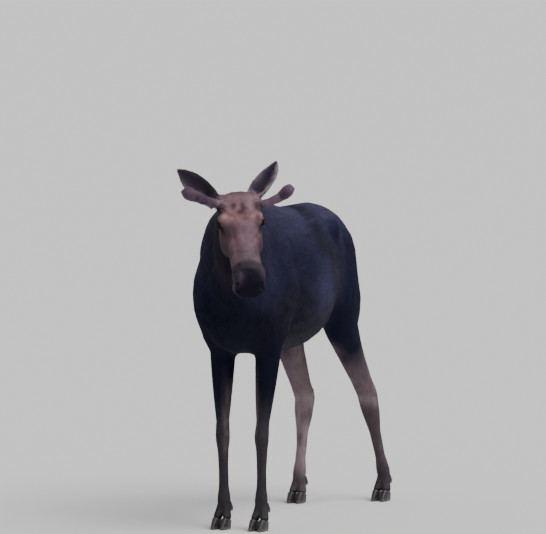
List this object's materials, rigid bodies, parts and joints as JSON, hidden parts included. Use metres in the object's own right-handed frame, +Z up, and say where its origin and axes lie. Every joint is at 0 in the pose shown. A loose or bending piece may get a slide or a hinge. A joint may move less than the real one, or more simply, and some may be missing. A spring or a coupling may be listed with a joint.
{
  "type": "moose",
  "caption": "Still, life-size young bull moose standing on four feet, head turned to its left, with short antlers in velvet.",
  "frame": {"origin": "on the ground under the middle of the animal's box", "axes": "-Y is the way the body faces, +X is the animal's left, +Z up"},
  "size_m": [0.7706, 2.4194, 2.0789],
  "materials": {
    "coat": "short dark brown-black summer hair, reddish brown on the face and grey-brown on the legs",
    "velvet": "brown velvet",
    "horn": "satin black horn",
    "eye": "wet dark brown"
  },
  "bodies": {
    "root": {"head": "coat", "neck": "coat", "trunk": "coat", "tail": "coat", "ear_left": "coat", "ear_right": "coat", "eye_left": "eye", "eye_right": "eye", "antler_left_beam": "velvet", "antler_left_bud": "velvet", "antler_right_beam": "velvet", "antler_right_bud": "velvet", "leg_fore_left_upper": "coat", "leg_fore_left_lower": "coat", "leg_fore_right_upper": "coat", "leg_fore_right_lower": "coat", "leg_hind_left_upper": "coat", "leg_hind_left_lower": "coat", "leg_hind_right_upper": "coat", "leg_hind_right_lower": "coat", "hoof_fore_left_left": "horn", "dewclaw_fore_left_left": "horn", "hoof_fore_left_right": "horn", "dewclaw_fore_left_right": "horn", "hoof_fore_right_left": "horn", "dewclaw_fore_right_left": "horn", "hoof_fore_right_right": "horn", "dewclaw_fore_right_right": "horn", "hoof_hind_left_left": "horn", "dewclaw_hind_left_left": "horn", "hoof_hind_left_right": "horn", "dewclaw_hind_left_right": "horn", "hoof_hind_right_left": "horn", "dewclaw_hind_right_left": "horn", "hoof_hind_right_right": "horn", "dewclaw_hind_right_right": "horn"}
  },
  "joints": []
}
